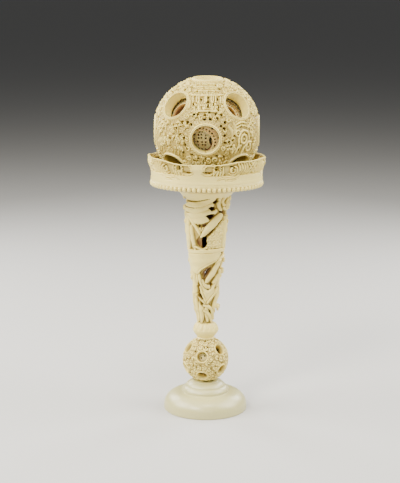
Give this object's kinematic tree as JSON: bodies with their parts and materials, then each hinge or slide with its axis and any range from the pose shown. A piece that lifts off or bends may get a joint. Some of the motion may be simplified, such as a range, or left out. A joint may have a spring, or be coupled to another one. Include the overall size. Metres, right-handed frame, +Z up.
{
  "type": "puzzle ball on stand",
  "caption": "Nested openwork puzzle ball resting in a pierced dish, on a carved openwork stem, a small puzzle ball and a turned round foot.",
  "frame": {"origin": "centre of the foot's underside, where it stands", "axes": "+Z up through the foot, the stem and the ball; -Y to the front, the side that the picture shows; +X to the viewer's right"},
  "size_m": [0.1095, 0.1086, 0.3143],
  "materials": {
    "polished_ivory": "smooth polished ivory with a soft gloss",
    "carved_ivory": "carved ivory, satin on the raised work and warmer in the hollows",
    "inner_ivory": "unpolished ivory of the inner shells, warm and matt"
  },
  "bodies": {
    "root": {"foot": "polished_ivory", "stem": "carved_ivory", "dish": "carved_ivory", "small_ball_shell": "carved_ivory", "small_ball_core": "inner_ivory", "ball_outer_shell": "carved_ivory", "ball_second_shell": "inner_ivory", "ball_third_shell": "inner_ivory", "ball_innermost_shell": "inner_ivory"}
  },
  "joints": []
}
